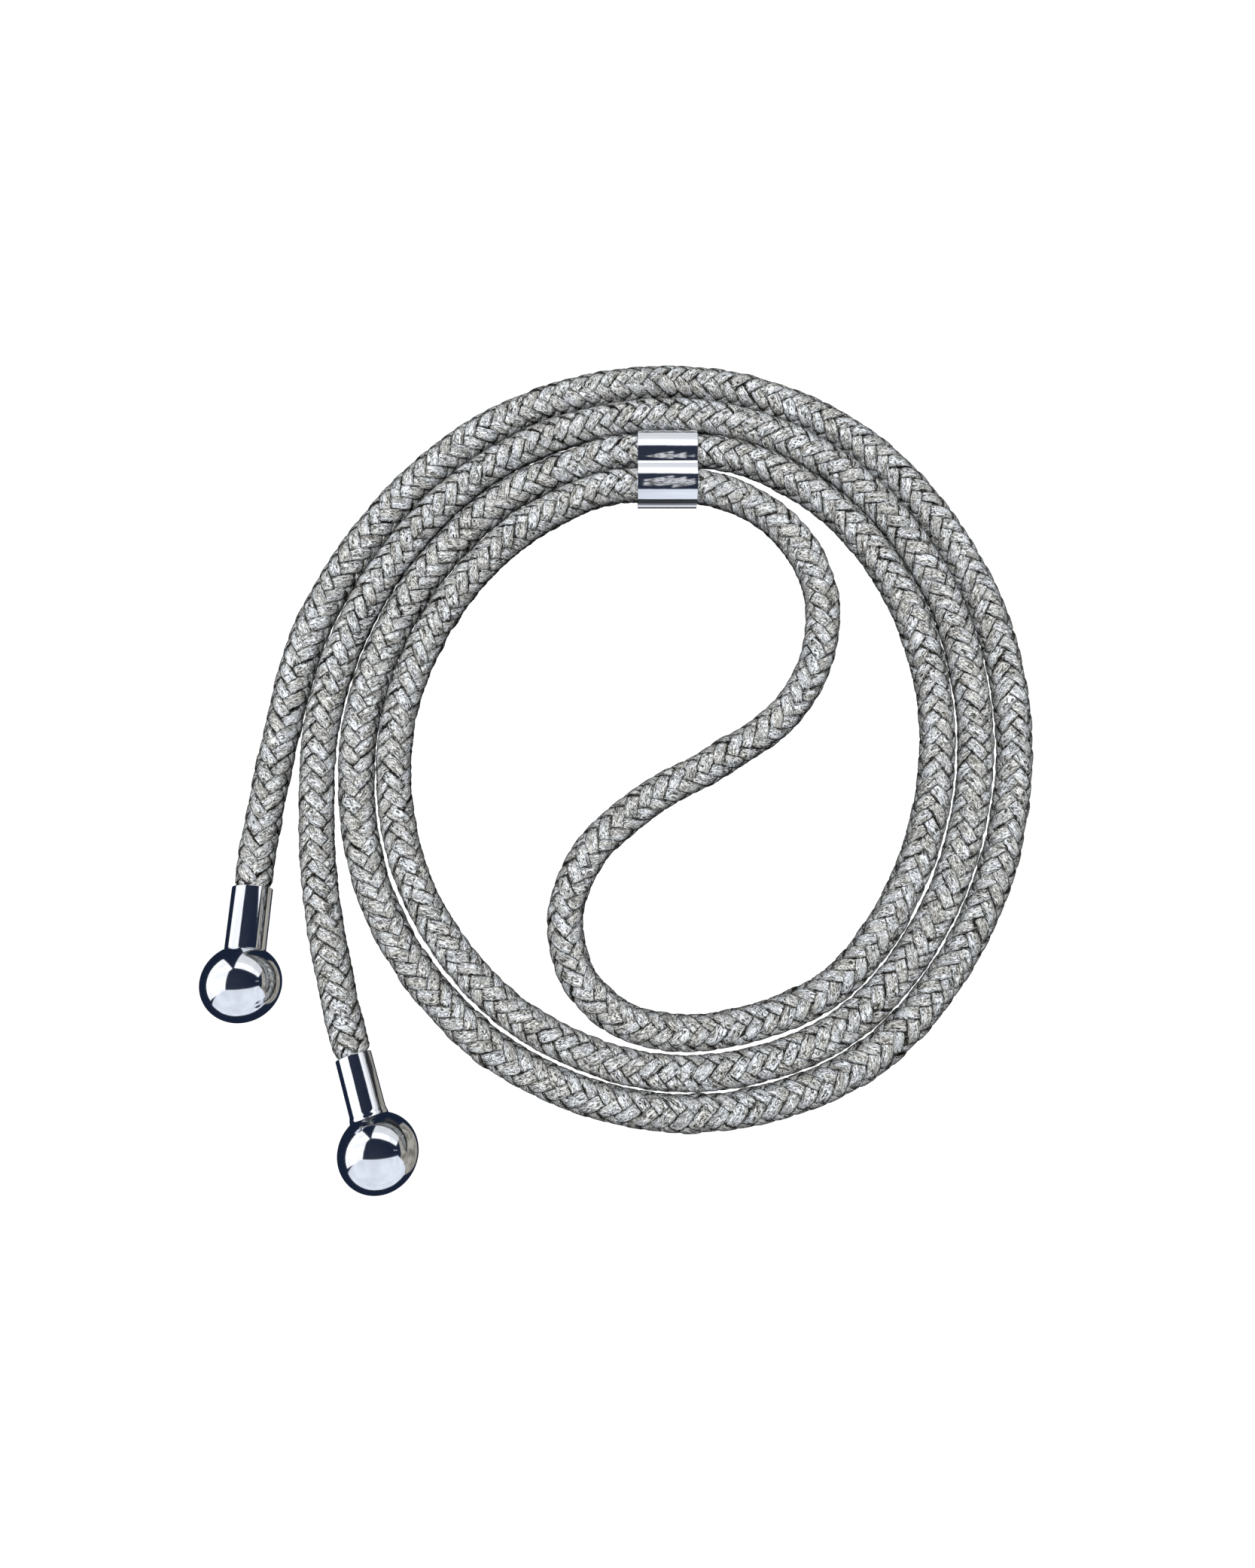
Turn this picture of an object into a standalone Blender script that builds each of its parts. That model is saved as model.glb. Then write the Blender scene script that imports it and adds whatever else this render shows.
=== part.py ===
"""Rope belt laid down in flat coils.

One braided rope, doubled at its middle: both halves wind round side by side, and the middle of
the rope crosses the open centre in an S. A cast double slider holds two runs of the rope, and a
turned ball end closes each end of it. Metres, +Z up, standing on Z = 0, with the origin under the
middle of the whole belt.
"""

import math

import bmesh
import bpy
from mathutils import Matrix, Vector

MM = 0.001

# Rope
ROPE_DIAMETER = 7.2 * MM
ROPE_BEVEL_RESOLUTION = 4
ROPE_POINT_SPACING = 18.0 * MM
ROPE_END_DIAMETER = 5.5 * MM
ROPE_END_INSERT = 7.0 * MM
ROPE_SQUEEZE_LENGTH = 3.0 * MM

# Play between the rope and the metal that it runs in
PLAY = 0.3 * MM

# Double slider
SLIDER_LENGTH = 12.6 * MM
SLIDER_WALL = 0.75 * MM
SLIDER_BORE_SPACING = 7.75 * MM
SLIDER_WAIST_DEPTH = 1.5 * MM
SLIDER_NECK = 0.3 * MM
SLIDER_RIM = 0.25 * MM
SLIDER_SIDES = 24

# Ball ends
BALL_DIAMETER = 15.2 * MM
CAP_LENGTH = 26.6 * MM
LEFT_FERRULE_WALL = 0.85 * MM
RIGHT_FERRULE_WALL = 0.45 * MM
FERRULE_BORE_DEPTH = 9.0 * MM
FERRULE_LIP = 0.2 * MM
COLLAR_WIDTH = 0.7 * MM
COLLAR_HEIGHT = 0.3 * MM
CAP_SIDES = 24
BALL_STEPS = 11
CAP_MOUTH_HEIGHT = 4.4 * MM

ROPE_RADIUS = ROPE_DIAMETER / 2
SLIDER_BORE_RADIUS = ROPE_RADIUS + PLAY
SLIDER_OUTER_RADIUS = SLIDER_BORE_RADIUS + SLIDER_WALL
SLIDER_HEIGHT = SLIDER_OUTER_RADIUS * math.cos(math.pi / SLIDER_SIDES)
FERRULE_BORE_RADIUS = ROPE_END_DIAMETER / 2 + PLAY
BALL_RADIUS = BALL_DIAMETER / 2
MOUTH_REACH = CAP_LENGTH - BALL_RADIUS

# The coils lie round this point, and the route below is measured from it.
COIL_CENTRE = Vector((8.77 * MM, 5.0 * MM, 0.0))

# The slider's middle: along the rope from the coil centre, and just inside the second lap's top
SLIDER_ALONG = -0.5
SECOND_LAP_TOP = 70.0
SLIDER_CLEARANCE = 0.85
OUTER_BORE = SECOND_LAP_TOP - SLIDER_CLEARANCE - (SLIDER_OUTER_RADIUS + ROPE_RADIUS) / MM
INNER_BORE = OUTER_BORE - SLIDER_BORE_SPACING / MM
# The route runs straight this far to each side of the slider's middle.
STRAIGHT_RUN = 11.5
STRAIGHT_RUN_INSIDE = 7.3

# Mouths of the ball ends, in mm from the coil centre, and the way each points, in degrees
# name, x, y, heading from the ball to the mouth, wall of the ferrule
CAPS = [
    ("end_cap_left", -84.85, -32.4, 90.0, LEFT_FERRULE_WALL),
    ("end_cap_right", -63.2, -65.4, 110.0, RIGHT_FERRULE_WALL),
]

# Parts of the route that go round the coil centre: bearing in degrees, distance in mm
OUTER_LAP = [(180, 80.7), (165, 78.8), (150, 77.3), (120, 77.5), (97, 77.6), (83, 77.6)]
OUTER_LAP += [(60, 76.1), (30, 72.6), (0, 71.2), (330, 72.6), (300, 76.6), (270, 76.4)]
OUTER_LAP += [(240, 73.3)]
THIRD_LAP_LEFT = [(210, 69.0), (180, 64.6), (150, 62.0), (120, 62.1), (110, 61.9)]
THIRD_LAP_RIGHT = [(60, 60.8), (30, 57.2), (0, 55.3), (330, 56.8), (300, 61.1)]
INNER_LAP = [(120, 54.4), (150, 54.3), (180, 57.0), (210, 60.8), (240, 65.3), (270, 68.8)]
SECOND_LAP = [(300, 68.9), (330, 64.7), (0, 63.2), (30, 65.0), (60, 68.5)]
SECOND_LAP += [(83, SECOND_LAP_TOP), (97, SECOND_LAP_TOP), (120, 69.9), (150, 69.7)]
SECOND_LAP += [(165, 70.8), (180, 72.7)]

# Parts that don't: x and y in mm from the coil centre
LEFT_TAIL = [(-83.3, -16.4)]
MIDDLE = [(16.0, -59.0), (3.5, -60.9), (-9.2, -58.8), (-18.7, -50.5), (-21.6, -38.3)]
MIDDLE += [(-17.4, -26.4), (-6.0, -15.3), (9.5, -6.3), (24.2, 4.3), (31.0, 16.6)]
MIDDLE += [(31.8, 30.5), (26.6, 41.9), (17.5, 49.8)]
RIGHT_TAIL = [(-72.9, -14.0), (-71.7, -30.0), (-68.4, -47.0)]


def make_material(name, colour, roughness, metallic):
    material = bpy.data.materials.new(name)
    material.use_nodes = True
    shader = material.node_tree.nodes["Principled BSDF"]
    shader.inputs["Base Color"].default_value = (*colour, 1.0)
    shader.inputs["Roughness"].default_value = roughness
    shader.inputs["Metallic"].default_value = metallic
    return material


def add_object(name, data, material):
    data.materials.append(material)
    obj = bpy.data.objects.new(name, data)
    bpy.context.collection.objects.link(obj)
    return obj


def shade_round(mesh, sharpest=40.0):
    mesh.shade_smooth()
    mesh.set_sharp_from_angle(angle=math.radians(sharpest))


def lying(points):
    """Route points on the surface, from x and y in mm."""
    return [COIL_CENTRE + Vector((x * MM, y * MM, ROPE_RADIUS)) for x, y in points]


def lap(rows):
    """Route points on the surface, from bearings and distances round the coil centre."""
    turned = [(math.radians(bearing), distance) for bearing, distance in rows]
    return lying([(distance * math.cos(a), distance * math.sin(a)) for a, distance in turned])


def through_slider(bore, offsets):
    """Route points along the axis of one of the slider's bores."""
    height = Vector((0.0, 0.0, SLIDER_HEIGHT))
    return [
        COIL_CENTRE + Vector(((SLIDER_ALONG + offset) * MM, bore * MM, 0.0)) + height
        for offset in offsets
    ]


def rope_route():
    outer = through_slider(OUTER_BORE, (-STRAIGHT_RUN, 0.0, STRAIGHT_RUN))
    inner = through_slider(INNER_BORE, (STRAIGHT_RUN_INSIDE, 0.0, -STRAIGHT_RUN))
    route = lying(LEFT_TAIL) + lap(OUTER_LAP + THIRD_LAP_LEFT) + outer + lap(THIRD_LAP_RIGHT)
    return route + lying(MIDDLE) + inner + lap(INNER_LAP + SECOND_LAP) + lying(RIGHT_TAIL)


def smooth_slopes(points):
    """Directions of the smooth curve at its points, each leaning to its nearer neighbour.

    The curve is level where the rope touches the surface, so it doesn't dip below."""
    spans = [end - start for start, end in zip(points, points[1:])]
    slopes = [spans[0].normalized()]
    for point, before, after in zip(points[1:], spans, spans[1:]):
        slope = before.normalized() * after.length + after.normalized() * before.length
        if point.z < ROPE_RADIUS + PLAY:
            slope.z = 0.0
        slopes.append(slope / (before.length + after.length))
    return slopes + [spans[-1].normalized()]


def smooth_curve(points, spacing):
    """Points at about the given spacing on the smooth curve through the points, ends included."""
    slopes = smooth_slopes(points)
    curve = []
    for start, end, slope_in, slope_out in zip(points, points[1:], slopes, slopes[1:]):
        reach = (end - start).length
        count = max(1, round(reach / spacing))
        for t in (i / count for i in range(count)):
            curve.append(
                start * (2 * t**3 - 3 * t**2 + 1)
                + slope_in * reach * (t**3 - 2 * t**2 + t)
                + end * (3 * t**2 - 2 * t**3)
                + slope_out * reach * (t**3 - t**2)
            )
    return curve + [points[-1]]


def cap_axis(heading):
    """The way from a ball to its mouth: it slopes down, because the ball is thicker than the rope."""
    drop = (BALL_RADIUS - CAP_MOUTH_HEIGHT) / MOUTH_REACH
    level = math.sqrt(1 - drop**2)
    angle = math.radians(heading)
    return Vector((level * math.cos(angle), level * math.sin(angle), -drop))


def cap_mouth(x, y):
    return COIL_CENTRE + Vector((x * MM, y * MM, CAP_MOUTH_HEIGHT))


def rope_end(cap):
    """Points and thickness shares of the squeezed end in a ferrule, from the inside outwards."""
    _, x, y, heading, _ = cap
    mouth, axis = cap_mouth(x, y), cap_axis(heading)
    thin = ROPE_END_DIAMETER / ROPE_DIAMETER
    return [
        (mouth - axis * ROPE_END_INSERT, thin),
        (mouth + axis * PLAY, thin),
        (mouth + axis * (PLAY + ROPE_SQUEEZE_LENGTH), 1.0),
    ]


def make_rope(material):
    left, right = (rope_end(cap) for cap in CAPS)
    route = [left[-1][0]] + rope_route() + [right[-1][0]]
    run = smooth_curve(route, ROPE_POINT_SPACING)
    rows = left + [(point, 1.0) for point in run[1:-1]] + right[::-1]
    curve = bpy.data.curves.new("rope", "CURVE")
    curve.dimensions = "3D"
    curve.twist_mode = "Z_UP"
    curve.bevel_depth = ROPE_RADIUS
    curve.bevel_resolution = ROPE_BEVEL_RESOLUTION
    curve.use_fill_caps = True
    spline = curve.splines.new("POLY")
    spline.points.add(len(rows) - 1)
    for point, (place, share) in zip(spline.points, rows):
        point.co = (*place, 1.0)
        point.radius = share
    spline.use_smooth = True
    return add_object("rope", curve, material)


def double_outline(radius, waist_half_height):
    """Points in YZ round two circles side by side, joined by a waist, anticlockwise."""
    step = 2 * math.pi / SLIDER_SIDES
    turns = [step * (i + 0.5) for i in range(-SLIDER_SIDES // 2, SLIDER_SIDES // 2)]
    shift = SLIDER_BORE_SPACING / 2
    open_side = [
        (radius * math.cos(a) + shift, radius * math.sin(a))
        for a in turns
        if math.cos(a) > 0 or abs(radius * math.sin(a)) > waist_half_height
    ]
    foot = math.sqrt(radius**2 - waist_half_height**2)
    waist = shift - foot
    right = [(waist, -waist_half_height)] + open_side + [(waist, waist_half_height)]
    return right + [(-y, -z) for y, z in right]


def prism(name, outline, length):
    """A closed prism along X over an outline in YZ."""
    mesh = bpy.data.meshes.new(name)
    shape = bmesh.new()
    corners = [shape.verts.new((-length / 2, y, z)) for y, z in outline]
    face = shape.faces.new(corners)
    pulled = bmesh.ops.extrude_face_region(shape, geom=[face])
    moved = [item for item in pulled["geom"] if isinstance(item, bmesh.types.BMVert)]
    bmesh.ops.translate(shape, verts=moved, vec=(length, 0.0, 0.0))
    bmesh.ops.recalc_face_normals(shape, faces=shape.faces)
    shape.to_mesh(mesh)
    shape.free()
    return mesh


def make_slider(material):
    """Two tubes side by side in one casting, open to each other where their bores meet."""
    outer = double_outline(SLIDER_OUTER_RADIUS, SLIDER_OUTER_RADIUS - SLIDER_WAIST_DEPTH)
    inner_radius = SLIDER_BORE_RADIUS / math.cos(math.pi / SLIDER_SIDES)
    crossing = math.sqrt(max(inner_radius**2 - (SLIDER_BORE_SPACING / 2) ** 2, 0.0))
    inner = double_outline(inner_radius, crossing + SLIDER_NECK)
    middle = COIL_CENTRE + Vector(
        (SLIDER_ALONG * MM, (OUTER_BORE + INNER_BORE) / 2 * MM, SLIDER_HEIGHT)
    )
    slider = add_object("slider", prism("slider", outer, SLIDER_LENGTH), material)
    slider.location = middle
    cutter = add_object("slider_bores", prism("slider_bores", inner, 2 * SLIDER_LENGTH), material)
    cutter.location = middle
    cutter.hide_render = True
    cutter.display_type = "WIRE"
    bores = slider.modifiers.new("bores", "BOOLEAN")
    bores.object = cutter
    bores.operation = "DIFFERENCE"
    bores.solver = "EXACT"
    rims = slider.modifiers.new("rims", "BEVEL")
    rims.width = SLIDER_RIM
    rims.segments = 2
    rims.limit_method = "ANGLE"
    rims.angle_limit = math.radians(60)
    shade_round(slider.data)
    return slider


def cap_profile(wall):
    """Radius and height pairs of the turned ball end, from the ball's pole to the bore's floor.

    Height runs from the ball's centre towards the mouth."""
    radius = FERRULE_BORE_RADIUS + wall
    seat = math.acos(radius / BALL_RADIUS)
    turned = [-math.pi / 2 + (math.pi / 2 + seat) * i / BALL_STEPS for i in range(BALL_STEPS)]
    ball = [(BALL_RADIUS * math.cos(a), BALL_RADIUS * math.sin(a)) for a in turned]
    foot = BALL_RADIUS * math.sin(seat)
    collar = radius + COLLAR_HEIGHT
    tube = [
        (collar, foot),
        (collar, foot + COLLAR_WIDTH / 2),
        (radius, foot + COLLAR_WIDTH),
        (radius, MOUTH_REACH - FERRULE_LIP),
        (radius - FERRULE_LIP, MOUTH_REACH),
        (FERRULE_BORE_RADIUS, MOUTH_REACH),
        (FERRULE_BORE_RADIUS, MOUTH_REACH - FERRULE_BORE_DEPTH),
    ]
    return ball + tube


def cap_mesh(wall):
    """The ball end as a turned solid about Z, with its ball's centre at the origin."""
    mesh = bpy.data.meshes.new("end_cap")
    shape = bmesh.new()
    profile = cap_profile(wall)
    pole = shape.verts.new((0.0, 0.0, profile[0][1]))
    floor = shape.verts.new((0.0, 0.0, profile[-1][1]))
    rings = []
    for radius, height in profile[1:]:
        turns = [2 * math.pi * (i + 0.5) / CAP_SIDES for i in range(CAP_SIDES)]
        ring = [(radius * math.cos(a), radius * math.sin(a), height) for a in turns]
        rings.append([shape.verts.new(corner) for corner in ring])
    for i in range(CAP_SIDES):
        j = (i + 1) % CAP_SIDES
        shape.faces.new((pole, rings[0][j], rings[0][i]))
        shape.faces.new((floor, rings[-1][i], rings[-1][j]))
        for low, high in zip(rings, rings[1:]):
            shape.faces.new((low[i], low[j], high[j], high[i]))
    bmesh.ops.recalc_face_normals(shape, faces=shape.faces)
    shape.to_mesh(mesh)
    shape.free()
    return mesh


def make_cap(name, x, y, heading, wall, material):
    cap = add_object(name, cap_mesh(wall), material)
    axis = cap_axis(heading)
    turn = axis.to_track_quat("Z", "Y").to_matrix().to_4x4()
    cap.matrix_world = Matrix.Translation(cap_mouth(x, y) - axis * MOUTH_REACH) @ turn
    shade_round(cap.data)
    return cap


def main():
    for obj in list(bpy.data.objects):
        bpy.data.objects.remove(obj, do_unlink=True)
    braid = make_material("grey_braid", (0.42, 0.41, 0.40), 0.9, 0.0)
    chrome = make_material("chrome", (0.8, 0.8, 0.82), 0.06, 1.0)
    make_rope(braid)
    make_slider(chrome)
    for cap in CAPS:
        make_cap(*cap, chrome)


main()
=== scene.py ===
"""Rope belt: a grey braided rope laid in flat coils, with a double slider and two ball ends."""

import math

import bpy
import numpy as np
from mathutils import Matrix, Vector


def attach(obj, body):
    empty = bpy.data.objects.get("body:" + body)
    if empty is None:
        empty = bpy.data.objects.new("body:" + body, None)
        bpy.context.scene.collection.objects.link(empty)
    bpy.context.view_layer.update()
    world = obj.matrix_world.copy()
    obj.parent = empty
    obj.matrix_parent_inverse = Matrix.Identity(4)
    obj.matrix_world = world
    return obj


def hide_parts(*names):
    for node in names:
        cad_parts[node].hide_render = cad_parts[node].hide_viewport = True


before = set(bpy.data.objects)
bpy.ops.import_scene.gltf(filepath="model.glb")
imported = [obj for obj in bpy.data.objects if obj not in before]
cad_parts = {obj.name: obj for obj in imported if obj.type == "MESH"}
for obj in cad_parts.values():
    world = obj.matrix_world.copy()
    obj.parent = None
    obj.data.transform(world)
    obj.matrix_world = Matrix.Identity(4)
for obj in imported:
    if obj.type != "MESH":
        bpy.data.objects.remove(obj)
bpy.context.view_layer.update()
bpy.ops.object.select_all(action="DESELECT")

# Camera. It looks down at the coil from close above, leaning eight degrees off the vertical
# towards the ball ends' side, so the near rope is drawn a little larger than the far one.
# Sizes and places are in millimetres here and below, unless a comment says otherwise.
MM = 0.001
CAMERA_PLACE = Vector((-0.23, -33.5, 199.4)) * MM
CAMERA_AIM = Vector((-0.23, -6.0, 3.65)) * MM

bpy.ops.object.camera_add(location=CAMERA_PLACE)
camera = bpy.context.object
camera.name = "camera"
camera.rotation_euler = (CAMERA_AIM - CAMERA_PLACE).to_track_quat("-Z", "Y").to_euler()
camera.data.lens = 22.0
camera.data.sensor_width = 36.0
camera.data.clip_start = 0.01
bpy.context.scene.camera = camera
bpy.context.scene.view_settings.view_transform = "Standard"

# Braided rope, one length. Twelve soft polyester yarns of heathered grey run round a core,
# six each way, and each passes over two and under two of the others. The rope winds round,
# turns back through the open middle in an S, and winds out again beside its other half.
ROPE_DIAMETER = 7.6
COIL_CENTRE = np.array((8.77, 5.0, 0.0))
SLIDER_ALONG = -0.5
SLIDER_HEIGHT = 4.66
OUTER_BORE = 60.9
INNER_BORE = 53.15
BALL_RADIUS = 7.6
MOUTH_HEIGHT = 4.4
MOUTH_REACH = 19.0
# x and y of each ball end's mouth from the coil's centre, and its heading in degrees
LEFT_MOUTH = (-84.85, -32.4, 90.0)
RIGHT_MOUTH = (-63.2, -65.4, 110.0)
# Bearings in degrees and distances round the coil's centre
SECOND_LAP_TOP = 70.0
OUTER_LAP = [(180, 80.7), (165, 78.8), (150, 77.3), (120, 77.5), (97, 77.6), (83, 77.6)]
OUTER_LAP += [(60, 76.1), (30, 72.6), (0, 71.2), (330, 72.6), (300, 76.6), (270, 76.4)]
OUTER_LAP += [(240, 73.3)]
THIRD_LAP_LEFT = [(210, 69.0), (180, 64.6), (150, 62.0), (120, 62.1), (110, 61.9)]
THIRD_LAP_RIGHT = [(60, 60.8), (30, 57.2), (0, 55.3), (330, 56.8), (300, 61.1)]
INNER_LAP = [(120, 54.4), (150, 54.3), (180, 57.0), (210, 60.8), (240, 65.3), (270, 68.8)]
SECOND_LAP = [(300, 68.9), (330, 64.7), (0, 63.2), (30, 65.0), (60, 68.5)]
SECOND_LAP += [(83, SECOND_LAP_TOP), (97, SECOND_LAP_TOP), (120, 69.9), (150, 69.7)]
SECOND_LAP += [(165, 70.8), (180, 72.7)]
# x and y from the coil's centre
LEFT_TAIL = [(-83.3, -16.4)]
MIDDLE = [(16.0, -59.0), (3.5, -60.9), (-9.2, -58.8), (-18.7, -50.5), (-21.6, -38.3)]
MIDDLE += [(-17.4, -26.4), (-6.0, -15.3), (9.5, -6.3), (24.2, 4.3), (31.0, 16.6)]
MIDDLE += [(31.8, 30.5), (26.6, 41.9), (17.5, 49.8)]
RIGHT_TAIL = [(-72.9, -14.0), (-71.7, -30.0), (-68.4, -47.0)]
# Where the rope runs straight: along the slider from its middle, and out of a ferrule's mouth
OUTER_STRAIGHT = (-11.5, 0.0, 11.5)
INNER_STRAIGHT = (7.3, 0.0, -11.5)
IN_FERRULE = 7.0
MOUTH_STRAIGHT = (-IN_FERRULE, 0.3, 3.3)

# Spacing of the points along the rope, how many are blended between two of the places above,
# and how near the surface a place has to be for the rope to run level there
STEP = 0.6
BLENDS = 60
LEVEL_SLACK = 0.01


def lap(rows):
    return [(d * math.cos(math.radians(a)), d * math.sin(math.radians(a))) for a, d in rows]


def lying(rows):
    """Places of the rope's middle where it lies on the surface."""
    return [COIL_CENTRE + (x, y, ROPE_DIAMETER / 2) for x, y in rows]


def in_slider(bore, offsets):
    return [COIL_CENTRE + (SLIDER_ALONG + x, bore, SLIDER_HEIGHT) for x in offsets]


def cap_axis(mouth):
    """The way from a ball to its mouth, which slopes down because the ball is the thicker."""
    drop = (BALL_RADIUS - MOUTH_HEIGHT) / MOUTH_REACH
    level, angle = math.sqrt(1 - drop**2), math.radians(mouth[2])
    return np.array((level * math.cos(angle), level * math.sin(angle), -drop))


def cap_mouth(mouth):
    return COIL_CENTRE + (mouth[0], mouth[1], MOUTH_HEIGHT)


def rope_end(mouth):
    return [cap_mouth(mouth) + cap_axis(mouth) * reach for reach in MOUTH_STRAIGHT]


def smooth_line(points, step):
    """Evenly spaced points on the smooth curve through the points, level on the surface."""
    points = np.array(points)
    spans = np.diff(points, axis=0)
    reach = np.linalg.norm(spans, axis=1)[:, None]
    ways = spans / reach
    slopes = np.empty_like(points)
    slopes[0], slopes[-1] = ways[0], ways[-1]
    slopes[1:-1] = (ways[:-1] * reach[1:] + ways[1:] * reach[:-1]) / (reach[1:] + reach[:-1])
    slopes[(points[:, 2] < ROPE_DIAMETER / 2 + LEVEL_SLACK), 2] = 0.0
    t = np.linspace(0, 1, BLENDS, endpoint=False)[None, :, None]
    start, end = points[:-1, None], points[1:, None]
    leave, arrive = slopes[:-1, None] * reach[:, None], slopes[1:, None] * reach[:, None]
    dense = (
        start * (2 * t**3 - 3 * t**2 + 1)
        + leave * (t**3 - 2 * t**2 + t)
        + end * (3 * t**2 - 2 * t**3)
        + arrive * (t**3 - t**2)
    )
    dense = np.vstack([dense.reshape(-1, 3), points[-1:]])
    along = np.concatenate([[0], np.cumsum(np.linalg.norm(np.diff(dense, axis=0), axis=1))])
    at = np.linspace(0, along[-1], round(along[-1] / step) + 1)
    return np.stack([np.interp(at, along, dense[:, k]) for k in range(3)], axis=1), at


route = rope_end(LEFT_MOUTH) + lying(LEFT_TAIL + lap(OUTER_LAP + THIRD_LAP_LEFT))
route += in_slider(OUTER_BORE, OUTER_STRAIGHT) + lying(lap(THIRD_LAP_RIGHT) + MIDDLE)
route += in_slider(INNER_BORE, INNER_STRAIGHT) + lying(lap(INNER_LAP + SECOND_LAP))
route += lying(RIGHT_TAIL) + rope_end(RIGHT_MOUTH)[::-1]
rope_line, rope_along = smooth_line(route, STEP)


def linear(hex_colour):
    """Linear RGBA of an sRGB hex colour."""
    parts = [int(hex_colour[i : i + 2], 16) / 255 for i in (1, 3, 5)]
    return (*[p / 12.92 if p <= 0.04045 else ((p + 0.055) / 1.055) ** 2.4 for p in parts], 1.0)


def add_node(owner, kind, links=(), **settings):
    """Adds a node, sets its properties or its sockets by name, and links its inputs."""
    node = owner.node_tree.nodes.new(kind)
    for name, value in settings.items():
        if hasattr(node, name):
            setattr(node, name, value)
        else:
            node.inputs[name.replace("_", " ")].default_value = value
    for socket, source in dict(links).items():
        owner.node_tree.links.new(source, node.inputs[socket])
    return node


def new_material(name, **sockets):
    """A material with one Principled shader, and the values of its sockets by name."""
    material = bpy.data.materials.new(name)
    material.use_nodes = True
    shader = material.node_tree.nodes["Principled BSDF"]
    for socket, value in sockets.items():
        shader.inputs[socket.replace("_", " ")].default_value = value
    return material, shader


def set_stops(ramp, stops):
    """Sets a colour ramp's stops from pairs of place and sRGB hex colour."""
    elements = ramp.color_ramp.elements
    while len(elements) > 1:
        elements.remove(elements[-1])
    for i, (place, colour) in enumerate(stops):
        element = elements[0] if i == 0 else elements.new(place)
        element.position = place
        element.color = linear(colour)


# Spun polyester yarn, loosely twisted from dyed and undyed fibres: matt and dry, with pale,
# grey and taupe flecks along it, a few nearly black. Painted shade darkens it where a yarn dives
# under its neighbours and along each yarn's edges.
# A clear coat with a grey tint, which takes up more light the more it is seen from the side,
# paints shade along the rope's edges, so they are dark
EDGE_SHADE_COAT_TINT = (0.725, 0.73, 0.732, 1.0)
braid_yarn, braid_shader = new_material(
    "heathered_polyester_yarn",
    Roughness=0.95,
    Specular_IOR_Level=0.15,
    Coat_Weight=1.0,
    Coat_Roughness=1.0,
    Coat_IOR=1.0,
    Coat_Tint=EDGE_SHADE_COAT_TINT,
)
# The map along the yarns counts 1.23 to a millimetre along them and about 0.9 across. So the
# flecks are 0.8 mm long and 0.6 mm wide, several times as coarse as real fibres, or they
# wouldn't show, and the tints 5 mm long. The fibres of the bump are 0.2 mm wide.
MAP_ALONG = 1.23
MAP_PER_SIDE = 0.75
MAP_SHIFT = (137.0, 31.0)
FLECKS = (1.0, 1.9, 1.0)
TINTS = (0.16, 0.5, 1.0)
CREVICE_SHADE_RAGS = (0.9, 1.1, 1.0)
FIBRES = (1.5, 5.0, 1.0)
FLECK_COLOURS = [(0.37, "#2a2824"), (0.43, "#7a7873"), (0.5, "#b2b2b1")]
FLECK_COLOURS += [(0.56, "#dcdfe2"), (0.62, "#ffffff")]
TINT_COLOURS = [(0.35, "#dad9d5"), (0.5, "#e5e6e6"), (0.65, "#eef1f6")]
# Painted shade: the dark colour of the crevices between yarns, and the span of the shade mask over
# which it comes in
CREVICE_PAINTED_SHADE_COLOUR = "#1d1b17"
CREVICE_PAINTED_SHADE_RANGE = (-1.25, -0.6)
RAGGEDNESS = 3.0
FIBRE_HEIGHT = 0.3

yarn_uv = add_node(braid_yarn, "ShaderNodeUVMap", uv_map="along_yarn")


def yarn_pattern(scale, **noise_settings):
    """A noise that follows the yarns, from its scale along and across them."""
    place = add_node(
        braid_yarn, "ShaderNodeMapping", {"Vector": yarn_uv.outputs["UV"]}, Scale=scale
    )
    noise = add_node(
        braid_yarn,
        "ShaderNodeTexNoise",
        {"Vector": place.outputs["Vector"]},
        noise_dimensions="2D",
        Scale=1.0,
        **noise_settings,
    )
    return noise.outputs["Fac"]


flecks = yarn_pattern(FLECKS, Detail=4.0, Roughness=0.75, Distortion=1.5)
fleck_colour = add_node(braid_yarn, "ShaderNodeValToRGB", {"Fac": flecks})
set_stops(fleck_colour, FLECK_COLOURS)
tint_colour = add_node(
    braid_yarn, "ShaderNodeValToRGB", {"Fac": yarn_pattern(TINTS, Detail=1.0)}
)
set_stops(tint_colour, TINT_COLOURS)
# Of a Mix node for colours, inputs 6 and 7 and output 2 are the colours
tinted = add_node(
    braid_yarn,
    "ShaderNodeMix",
    {6: fleck_colour.outputs["Color"], 7: tint_colour.outputs["Color"]},
    data_type="RGBA",
    blend_type="MULTIPLY",
    Factor=1.0,
)
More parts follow.
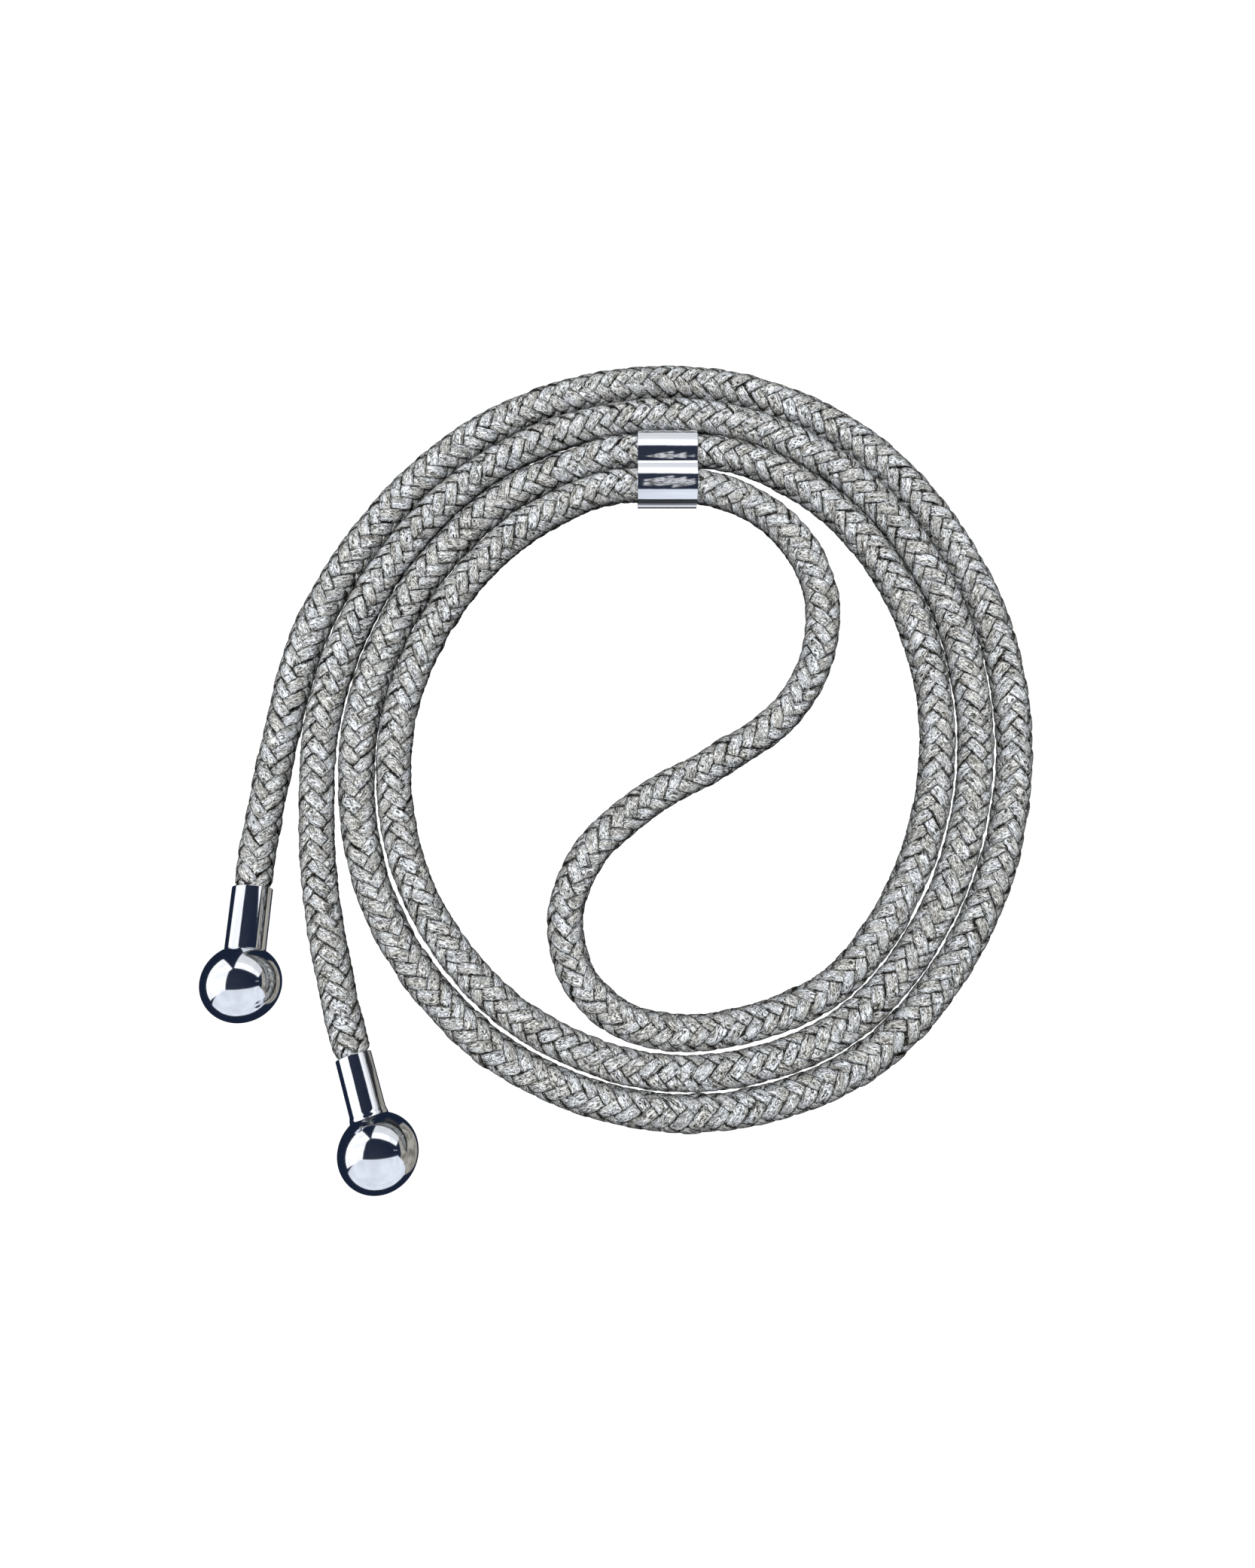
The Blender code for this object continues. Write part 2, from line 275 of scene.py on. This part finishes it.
# Painted shade in the crevices and along the yarns' edges, with ragged edges of its own,
# because loose fibres reach across them
painted_crevice_shade = add_node(braid_yarn, "ShaderNodeAttribute", attribute_name="painted_crevice_shade")
reaching = yarn_pattern(CREVICE_SHADE_RAGS, Detail=3.0, Roughness=0.7, Distortion=1.0)
ragged = add_node(
    braid_yarn,
    "ShaderNodeMath",
    {0: reaching, 2: painted_crevice_shade.outputs["Fac"]},
    operation="MULTIPLY_ADD",
)
ragged.inputs[1].default_value = -RAGGEDNESS
crevice_shade_share = add_node(
    braid_yarn,
    "ShaderNodeMapRange",
    {"Value": ragged.outputs["Value"]},
    From_Min=CREVICE_PAINTED_SHADE_RANGE[0],
    From_Max=CREVICE_PAINTED_SHADE_RANGE[1],
)
shaded = add_node(
    braid_yarn,
    "ShaderNodeMix",
    {"Factor": crevice_shade_share.outputs["Result"], 6: tinted.outputs[2]},
    data_type="RGBA",
)
shaded.inputs[7].default_value = linear(CREVICE_PAINTED_SHADE_COLOUR)
fibre_bump = add_node(
    braid_yarn,
    "ShaderNodeBump",
    {"Height": yarn_pattern(FIBRES, Detail=2.0, Distortion=0.8)},
    Strength=0.8,
    Distance=FIBRE_HEIGHT * MM,
)
braid_yarn.node_tree.links.new(shaded.outputs[2], braid_shader.inputs["Base Color"])
braid_yarn.node_tree.links.new(fibre_bump.outputs["Normal"], braid_shader.inputs["Normal"])

# The yarns' sizes, and how much wider and thicker each is above its neighbours than halfway
YARNS_EACH_WAY = 6
LAY_LENGTH = 21.0
YARN_WIDTH = 2.85
YARN_THICKNESS = 0.95
YARN_MIDDLE_RADIUS = 2.86
YARN_RISE = 0.34
WIDER_ABOVE = 0.07
THICKER_ABOVE = 0.08
FLAT_TOPS = 1.5
# Where the yarns of each way come up, counted in crossings
RIGHT_PHASE, LEFT_PHASE = 0.5, 2.5
# Points round a yarn's cross-section, and how deep in a crevice each lies, which sets how much
# painted shade it gets
YARN_SECTION = [(1, -0.1), (0.9, 0.55), (0.6, 0.9), (0, 1), (-0.6, 0.9), (-0.9, 0.55)]
YARN_SECTION = np.array([*YARN_SECTION, (-1, -0.1), (0, -0.8)])
YARN_EDGE_SHADE = np.array([1.0, 0.75, 0.0, 0.0, 0.0, 0.75, 1.0, 1.0])
YARN_SIDES = len(YARN_SECTION)
# Below this rise a yarn starts to be in a crevice, and is deep in it this much lower; the
# painted shade grows with this depth
DIVE_START = 0.35
DIVE_DEPTH = 0.5
# The rope's share of its thickness in a ferrule, and how far outside it is thick again
SQUEEZED = 0.78
SQUEEZE_LENGTH = 2.0
# Sizes of the random walks and the spacing of their draws. The first is a share of the rope's
# thickness, the second an angle in radians, and the others are a yarn's rise and width
ROPE_WALK = (0.02, 9.0)
TURN_WALK = (0.1, 3.5)
RISE_WALK = (0.13, 2.5)
WIDTH_WALK = (0.28, 2.5)
ROPE_SEED, RIGHT_SEED, LEFT_SEED, RISE_SEED, WIDTH_SEED = 7, 20, 40, 50, 100


def unit(rows):
    return rows / np.linalg.norm(rows, axis=-1, keepdims=True)


def wander(seed, size, spacing):
    """A smooth random walk along the rope, the same each run."""
    draws = np.random.default_rng(seed).normal(0, size, int(rope_along[-1] / spacing) + 4)
    knots = np.arange(len(draws)) * spacing
    return np.interp(rope_along, knots, np.convolve(draws, (0.25, 0.5, 0.25), "same"))


rope_way = unit(np.gradient(rope_line, axis=0))
rope_across = unit(np.cross((0.0, 0.0, 1.0), rope_way))
rope_up = np.cross(rope_way, rope_across)
from_ends = np.minimum(rope_along, rope_along[-1] - rope_along) - IN_FERRULE
squeeze = np.clip(from_ends / SQUEEZE_LENGTH, 0, 1)
rope_share = SQUEEZED + (1 - SQUEEZED) * squeeze * squeeze * (3 - 2 * squeeze)
# The rope is a little thicker and thinner by turns, as a soft braid is
rope_share *= 1 + wander(ROPE_SEED, *ROPE_WALK)


def yarn_rings(number, turn, seed):
    """Rings of one yarn's surface, and each point's depth in a crevice, for its painted shade."""
    turns = rope_along / LAY_LENGTH
    phase = 2 * number + turn * 2 * YARNS_EACH_WAY * turns
    over = np.cos(math.pi / 2 * (phase - (RIGHT_PHASE if turn > 0 else LEFT_PHASE)))
    over = np.tanh(FLAT_TOPS * over) / math.tanh(FLAT_TOPS)
    angle = 2 * math.pi * (number / YARNS_EACH_WAY + turn * turns) + wander(seed, *TURN_WALK)
    rise = YARN_RISE * over + wander(seed + RISE_SEED, *RISE_WALK)
    radius = (YARN_MIDDLE_RADIUS + rise) * rope_share
    out = np.cos(angle)[:, None] * rope_across + np.sin(angle)[:, None] * rope_up
    middle = rope_line + radius[:, None] * out
    way = unit(np.gradient(middle, axis=0))
    side = unit(np.cross(way, out))
    lift = np.cross(side, way) * np.sign(np.sum(np.cross(side, way) * out, axis=1))[:, None]
    width = YARN_WIDTH * (1 - WIDER_ABOVE + WIDER_ABOVE * over)
    width = (width + wander(seed + WIDTH_SEED, *WIDTH_WALK)) * rope_share / 2
    thick = YARN_THICKNESS * (1 - THICKER_ABOVE + THICKER_ABOVE * over) * rope_share / 2
    rings = (
        middle[:, None]
        + side[:, None] * (width[:, None] * YARN_SECTION[:, 0])[:, :, None]
        + lift[:, None] * (thick[:, None] * YARN_SECTION[:, 1])[:, :, None]
    )
    rings[:, :, 2] = np.maximum(rings[:, :, 2], 0.0)
    # Painted shade, darkest where the yarn dives under its neighbours and at its edges
    dive = np.clip((DIVE_START - over) / DIVE_DEPTH, 0, 1)
    return rings, 1 - (1 - dive[:, None]) * (1 - YARN_EDGE_SHADE[None])


def add_mesh(name, points, faces, material, edges=()):
    mesh = bpy.data.meshes.new(name)
    mesh.from_pydata(points, edges, faces)
    mesh.materials.append(material)
    mesh.shade_smooth()
    piece = bpy.data.objects.new(name, mesh)
    bpy.context.collection.objects.link(piece)
    return piece


def add_yarns(name, numbers, turn):
    """Several yarns of the braid as one mesh of closed tubes."""
    points, quads, ends, shade_depths, uvs = [], [], [], [], []
    count = len(rope_line)
    ring = np.arange(YARN_SIDES)
    rows = (np.arange(count - 1) * YARN_SIDES)[:, None]
    for i, number in enumerate(numbers):
        seed = number + (RIGHT_SEED if turn > 0 else LEFT_SEED)
        rings, shade_depth = yarn_rings(number, turn, seed)
        points.append(rings.reshape(-1, 3))
        shade_depths.append(shade_depth.reshape(-1))
        first = i * count * YARN_SIDES
        last = first + (count - 1) * YARN_SIDES
        low, high = first + rows + ring, first + rows + (ring + 1) % YARN_SIDES
        tube = np.stack([low, low + YARN_SIDES, high + YARN_SIDES, high], axis=-1)
        quads.append(tube.reshape(-1, 4))
        ends += [(first + ring).tolist(), (last + ring[::-1]).tolist()]
        # Each yarn reads its own stretch of the patterns
        along = rope_along * MAP_ALONG + MAP_SHIFT[0] * seed
        across = np.arange(YARN_SIDES + 1) * MAP_PER_SIDE + MAP_SHIFT[1] * seed
        u0, u1, v0, v1 = np.broadcast_arrays(
            along[:-1, None], along[1:, None], across[None, :-1], across[None, 1:]
        )
        corners = [(u0, v0), (u1, v0), (u1, v1), (u0, v1)]
        uvs.append(np.stack([np.stack(c, -1) for c in corners], axis=2).reshape(-1, 2))
    quads = np.vstack(quads)
    piece = add_mesh(name, np.vstack(points) * MM, quads.tolist() + ends, braid_yarn)
    layer = piece.data.uv_layers.new(name="along_yarn")
    flat = np.zeros((len(piece.data.loops), 2))
    flat[: 4 * len(quads)] = np.vstack(uvs)
    layer.data.foreach_set("uv", flat.ravel())
    # The painted crevice shade goes on the points
    shade = piece.data.attributes.new("painted_crevice_shade", "FLOAT", "POINT")
    shade.data.foreach_set("value", np.concatenate(shade_depths))
    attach(piece, "root")
    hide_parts("rope")
    return piece


sheath_pieces = [
    add_yarns("yarns_right_handed_even", (0, 2, 4), 1),
    add_yarns("yarns_right_handed_odd", (1, 3, 5), 1),
    add_yarns("yarns_left_handed_even", (0, 2, 4), -1),
    add_yarns("yarns_left_handed_odd", (1, 3, 5), -1),
]

# Double slider. Two round tubes side by side in one zinc casting, polished and plated, with
# rounded rims. Two runs of the rope are pushed through it and grip by friction.
SLIDER_LENGTH = 12.6
SLIDER_BORE = 3.9
SLIDER_NUDGE = 0.2
HUMP_SHIFT = 3.2
HUMP_WIDTH = 5.3
HUMP_HEIGHT = 4.65
HUMP_VALLEY = 0.9
HUMP_STEPS = 40
VALLEY_STEPS = 6
RIM_WIDTH = 0.37
RIM_STEPS = 5
RIM_ANGLE = math.radians(60)
SMOOTH_BELOW = math.radians(35)
SAME_PLACE = 1e-6  # in metres

# Chrome plate over polished cast zinc: a mirror, cool white where it shows the light and nearly
# black blue where it shows the dark, with the faint waves, about 4.5 mm long, of a casting
# that is polished by hand.
WAVES_PER_METRE = 220.0
WAVE_HEIGHT = 0.3
chrome, chrome_shader = new_material(
    "chrome_plate", Base_Color=linear("#eef0f4"), Metallic=1.0, Roughness=0.085
)
chrome_place = add_node(chrome, "ShaderNodeTexCoord")
polish = add_node(
    chrome,
    "ShaderNodeTexNoise",
    {"Vector": chrome_place.outputs["Object"]},
    Scale=WAVES_PER_METRE,
    Detail=2.0,
)
polish_bump = add_node(
    chrome,
    "ShaderNodeBump",
    {"Height": polish.outputs["Fac"]},
    Strength=0.09,
    Distance=WAVE_HEIGHT * MM,
)
chrome.node_tree.links.new(polish_bump.outputs["Normal"], chrome_shader.inputs["Normal"])


def two_humps(shift, width, height, valley):
    """Points in YZ round two ovals side by side, with a hollow of this half width between."""
    limit = math.acos((valley - shift) / width)
    turns = [limit * (1 - 2 * i / HUMP_STEPS) for i in range(HUMP_STEPS + 1)]
    outline = [(shift + width * math.cos(a), height * math.sin(a)) for a in turns]
    if valley:
        share = (shift - valley) / width
        bend = height / width * share / math.sqrt(1 - share**2) / (2 * valley)
        low = height * math.sqrt(1 - share**2) - bend * valley**2
        across = [valley * (1 - i / VALLEY_STEPS) for i in range(1, 2 * VALLEY_STEPS)]
        outline += [(y, -low - bend * y**2) for y in across]
    return outline + [(-y, -z) for y, z in outline]


def add_slider():
    """The slider from its outer and inner outlines, bridged at the ends and rounded."""
    middle = (OUTER_BORE + INNER_BORE) / 2 + SLIDER_NUDGE
    place = COIL_CENTRE + (SLIDER_ALONG, middle, SLIDER_HEIGHT)
    rows, faces = [], []
    outside = two_humps(HUMP_SHIFT, HUMP_WIDTH, HUMP_HEIGHT, HUMP_VALLEY)
    bores = two_humps((OUTER_BORE - INNER_BORE) / 2, SLIDER_BORE, SLIDER_BORE, 0.0)
    for outline in (outside, bores):
        base, count = len(rows), len(outline)
        for x in (-SLIDER_LENGTH / 2, SLIDER_LENGTH / 2):
            rows += [(place[0] + x, place[1] + y, place[2] + z) for y, z in outline]
        for i in range(count):
            j = (i + 1) % count
            faces.append((base + i, base + j, base + count + j, base + count + i))
    piece = add_mesh("double_slider", [Vector(row) * MM for row in rows], faces, chrome)
    bpy.context.view_layer.objects.active = piece
    piece.select_set(True)
    bpy.ops.object.mode_set(mode="EDIT")
    for side in (-1, 1):
        bpy.ops.mesh.select_all(action="DESELECT")
        bpy.ops.object.mode_set(mode="OBJECT")
        edge_at = (place[0] + side * SLIDER_LENGTH / 2) * MM
        for edge in piece.data.edges:
            ends = [piece.data.vertices[v].co.x for v in edge.vertices]
            edge.select = all(abs(x - edge_at) < SAME_PLACE for x in ends)
        bpy.ops.object.mode_set(mode="EDIT")
        bpy.ops.mesh.select_mode(type="EDGE")
        bpy.ops.mesh.bridge_edge_loops()
    bpy.ops.mesh.select_all(action="SELECT")
    bpy.ops.mesh.normals_make_consistent(inside=False)
    bpy.ops.object.mode_set(mode="OBJECT")
    rims = piece.modifiers.new("rims", "BEVEL")
    rims.width = RIM_WIDTH * MM
    rims.segments = RIM_STEPS
    rims.limit_method = "ANGLE"
    rims.angle_limit = RIM_ANGLE
    bpy.ops.object.modifier_apply(modifier="rims")
    bpy.ops.object.shade_smooth_by_angle(angle=SMOOTH_BELOW)
    piece.select_set(False)
    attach(piece, "root")
    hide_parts("slider")
    return piece


double_slider = add_slider()

# Ball ends. Each is turned and plated in one piece, a polished ball with a ferrule that the
# rope's squeezed end is glued into. The left one has a thicker ferrule and a fine seam where
# it meets the ball, and the right one a small flared collar.
LEFT_FERRULE_RADIUS = 3.9
RIGHT_FERRULE_RADIUS = 3.5
FERRULE_BORE = 3.05
FERRULE_DEPTH = 9.0
BALL_SEAT = 0.3
OUTER_LIP = 0.18
BORE_LIP = 0.1
CAP_SEGMENTS = 96
BALL_STEPS, OUTER_LIP_STEPS, BORE_LIP_STEPS = 40, 5, 3
# Radius and height rows of a ferrule's foot, from its own radius and from where the ball ends
SEAM_FOOT = [(0.05, 0.08), (-0.12, 0.12), (-0.12, 0.24), (0.0, 0.3)]
COLLAR_FOOT = [(0.22, 0.15), (0.22, 0.5), (0.1, 0.9), (0.0, 1.4)]


def arc(centre_r, centre_h, radius, start, end, steps):
    """Points of a profile's arc, from one angle to the other in degrees."""
    turns = [math.radians(start + (end - start) * i / steps) for i in range(steps + 1)]
    return [(centre_r + radius * math.cos(a), centre_h + radius * math.sin(a)) for a in turns]


def cap_profile(radius, foot):
    """Radius and height rows up the outside of a ball end and down its bore."""
    seat = math.degrees(math.acos((radius + BALL_SEAT) / BALL_RADIUS))
    rows = arc(0, 0, BALL_RADIUS, -90, seat, BALL_STEPS)
    meet = rows[-1][1]
    rows += [(radius + r, meet + h) for r, h in foot]
    outer, inner = radius - OUTER_LIP, FERRULE_BORE + BORE_LIP
    rows += arc(outer, MOUTH_REACH - OUTER_LIP, OUTER_LIP, 0, 90, OUTER_LIP_STEPS)
    rows += arc(inner, MOUTH_REACH - BORE_LIP, BORE_LIP, 90, 180, BORE_LIP_STEPS)
    floor = MOUTH_REACH - FERRULE_DEPTH
    return rows + [(FERRULE_BORE, floor), (0.0, floor)]


def add_cap(name, mouth, radius, foot, node):
    """A ball end, spun from its profile and turned to its mouth."""
    points = [(r * MM, 0.0, h * MM) for r, h in cap_profile(radius, foot)]
    edges = [(i, i + 1) for i in range(len(points) - 1)]
    piece = add_mesh(name, points, [], chrome, edges)
    bpy.context.view_layer.objects.active = piece
    piece.select_set(True)
    bpy.ops.object.mode_set(mode="EDIT")
    bpy.ops.mesh.select_all(action="SELECT")
    bpy.ops.mesh.spin(
        steps=CAP_SEGMENTS,
        angle=2 * math.pi,
        center=(0, 0, 0),
        axis=(0, 0, 1),
        use_auto_merge=True,
    )
    bpy.ops.mesh.select_all(action="SELECT")
    bpy.ops.mesh.remove_doubles(threshold=SAME_PLACE)
    bpy.ops.mesh.normals_make_consistent(inside=False)
    bpy.ops.object.mode_set(mode="OBJECT")
    axis = Vector(cap_axis(mouth))
    turn = axis.to_track_quat("Z", "Y").to_matrix().to_4x4()
    middle = Vector(cap_mouth(mouth)) - axis * MOUTH_REACH
    piece.data.transform(Matrix.Translation(middle * MM) @ turn)
    bpy.ops.object.shade_smooth_by_angle(angle=SMOOTH_BELOW)
    piece.select_set(False)
    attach(piece, "root")
    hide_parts(node)
    return piece


add_cap("ball_end_left", LEFT_MOUTH, LEFT_FERRULE_RADIUS, SEAM_FOOT, "end_cap_left")
right_end = add_cap(
    "ball_end_right", RIGHT_MOUTH, RIGHT_FERRULE_RADIUS, COLLAR_FOOT, "end_cap_right"
)

# Stage. A plain white floor that only the camera sees, soft light from the upper left, and for
# the chrome alone pale panels round a dark opening overhead, as in a small light tent.
SPAN = 3000.0
TABLE_HEIGHT, FLOOR_HEIGHT, SHADE_HEIGHT = -0.02, -0.03, -0.06
CLOUDS_PER_METRE = 7.0
MOTTLES_PER_METRE = 500.0


def glow(name, colour, strength, clouds=0.0, grain=CLOUDS_PER_METRE):
    """A light of its own, with its strength clouded by up to the given share."""
    material = bpy.data.materials.new(name)
    material.use_nodes = True
    material.node_tree.nodes.clear()
    light = add_node(material, "ShaderNodeEmission", Color=linear(colour), Strength=strength)
    add_node(material, "ShaderNodeOutputMaterial", {"Surface": light.outputs["Emission"]})
    if clouds:
        place = add_node(material, "ShaderNodeTexCoord")
        cloud = add_node(
            material,
            "ShaderNodeTexNoise",
            {"Vector": place.outputs["Object"]},
            Scale=grain,
            Detail=2.0,
        )
        share = add_node(
            material,
            "ShaderNodeMapRange",
            {"Value": cloud.outputs["Fac"]},
            From_Min=0.35,
            From_Max=0.6,
            To_Min=strength * (1 - clouds),
            To_Max=strength,
        )
        material.node_tree.links.new(share.outputs["Result"], light.inputs["Strength"])
    return material


def put_on_stage(thing, seen_by_camera):
    """Sets a thing's ray visibility, for the camera's eye alone or for the chrome's alone."""
    thing.visible_camera = seen_by_camera
    thing.visible_glossy = not seen_by_camera
    thing.visible_diffuse = False
    thing.visible_shadow = False
    thing.visible_transmission = False


def add_panel(name, corners, material, seen_by_camera=False):
    """A flat panel of the stage from its corners."""
    points = [Vector(corner) * MM for corner in corners]
    panel = add_mesh(name, points, [tuple(range(len(points)))], material)
    put_on_stage(panel, seen_by_camera)
    return panel


def level_square(height):
    """Corners of the floor's square at a height."""
    return [(x * SPAN, y * SPAN, height) for x, y in ((-1, -1), (1, -1), (1, 1), (-1, 1))]


floor_white = glow("white_floor", "#ffffff", 1.1)
panel_white = glow("panel_white", "#fbfcff", 1.3, 0.2)
panel_grey = glow("panel_grey", "#e6ebf5", 1.1, 0.15)
panel_low = glow("panel_low", "#eaecef", 1.0, 0.1)
taupe_glow = glow("taupe_side", "#b3afa6", 1.0, 0.6)
night_blue = glow("night_blue", "#1c2538", 1.0)
add_panel("floor", level_square(FLOOR_HEIGHT), floor_white, seen_by_camera=True)
FRONT = [(-187, -92, 190), (440, -92, 190), (620, -640, -420), (-76, -620, -120)]
FRONT += [(-760, -560, -30)]
LEFT = [(-146, -91, 190), (-146, 91, 190), (-117, 142, 190), (-560, 560, 15), (-700, -400, 40)]
BACK = [(-100, 157, 190), (427, 129, 190), (458, 199, 122), (-105, 244, 136)]
BACK_LOW = [(-105, 244, 136), (458, 199, 122), (600, 520, -190), (-130, 640, -110)]
RIGHT = [(500, -700, 140), (500, 700, 60), (500, 700, -1500), (500, -700, -1500)]
add_panel("front_panel", FRONT, panel_grey)
add_panel("left_panel", LEFT, panel_white)
add_panel("back_panel", BACK, panel_white)
add_panel("back_panel_low", BACK_LOW, panel_low)
add_panel("right_side", RIGHT, taupe_glow)

# What the slider's near side shows of the table, from y to y: dark across the coil, then grey,
# then pale, and nothing at its foot
TABLE_HALF = 45
TABLE = [(-60, 44.5, "#3a3c40"), (44.5, 48.8, "#85888e"), (48.8, 52.3, "#e6e8eb")]
for i, (near, far, colour) in enumerate(TABLE):
    strip = [(-TABLE_HALF, near), (TABLE_HALF, near), (TABLE_HALF, far), (-TABLE_HALF, far)]
    strip_glow = glow(f"table_glow_{i}", colour, 1.0)
    add_panel(f"table_{i}", [(*corner, TABLE_HEIGHT) for corner in strip], strip_glow)

# Pale things below the dark opening, which show as specks in the chrome: some close above the
# slider and some to the right, for the balls. Two corners' x and y of each, and its height
SPECKS = [(0.9, 47, 6.3, 61, 27), (5.3, 47, 11.3, 64.5, 28), (10.6, 44.5, 15.3, 63, 27)]
SPECKS += [(14.6, 48, 18.2, 60, 28), (250, -5, 320, 22, 189), (345, 4, 395, 36, 189)]
SPECKS += [(420, 14, 465, 30, 189)]
speck_glow = glow("pale_specks", "#dcdee2", 1.0, 0.95, MOTTLES_PER_METRE)
for i, (x0, y0, x1, y1, height) in enumerate(SPECKS):
    wide, deep = 0.1 * (x1 - x0), 0.2 * (y1 - y0)
    speck = [(x0, y0), (x1, y0 + deep), (x1 - wide, y1), (x0 + wide, y1 - deep)]
    add_panel(f"speck_{i}", [(*corner, height) for corner in speck], speck_glow)

# The dark all round, and beyond it the white behind the floor's edge. Radii in metres
SHELLS = [("dark_surroundings", 2.0, night_blue, False), ("white_backdrop", 2.4, floor_white, True)]
for name, radius, material, seen_by_camera in SHELLS:
    bpy.ops.mesh.primitive_ico_sphere_add(subdivisions=4, radius=radius)
    shell = bpy.context.object
    shell.name = name
    shell.data.materials.append(material)
    put_on_stage(shell, seen_by_camera)
    shell.select_set(False)

# Seen by the rope's soft light only: keeps the light from coming up through the floor
floor_shade = new_material("floor_shade", Base_Color=linear("#22211f"), Roughness=1.0)[0]
shade = add_panel("floor_shade", level_square(SHADE_HEIGHT), floor_shade)
shade.visible_diffuse = True
shade.visible_shadow = True
shade.visible_glossy = False

# The soft light on the rope, which the chrome doesn't show
KEY_PLACE = Vector((-60, 90, 520)) * MM
KEY_SIZE = 260
KEY_WATTS = 5.4
bpy.ops.object.light_add(type="AREA", location=KEY_PLACE)
key_light = bpy.context.object
key_light.name = "key_light"
key_light.data.shape = "DISK"
key_light.data.size = KEY_SIZE * MM
key_light.data.energy = KEY_WATTS
key_light.rotation_euler = (-KEY_PLACE).to_track_quat("-Z", "Y").to_euler()
key_light.visible_glossy = False
key_light.visible_camera = False

# A sky that is bright overhead and dark towards the horizon
world = bpy.data.worlds.new("overhead_sky")
bpy.context.scene.world = world
world.use_nodes = True
sky = world.node_tree.nodes["Background"]
sky.inputs["Color"].default_value = (1.0, 1.0, 1.0, 1.0)
sky_way = add_node(world, "ShaderNodeTexCoord")
sky_parts = add_node(world, "ShaderNodeSeparateXYZ", {"Vector": sky_way.outputs["Generated"]})
sky_rise = add_node(
    world,
    "ShaderNodeMapRange",
    {"Value": sky_parts.outputs["Z"]},
    From_Min=0.5,
    From_Max=1.0,
    To_Min=0.0,
    To_Max=1.65,
)
world.node_tree.links.new(sky_rise.outputs["Result"], sky.inputs["Strength"])
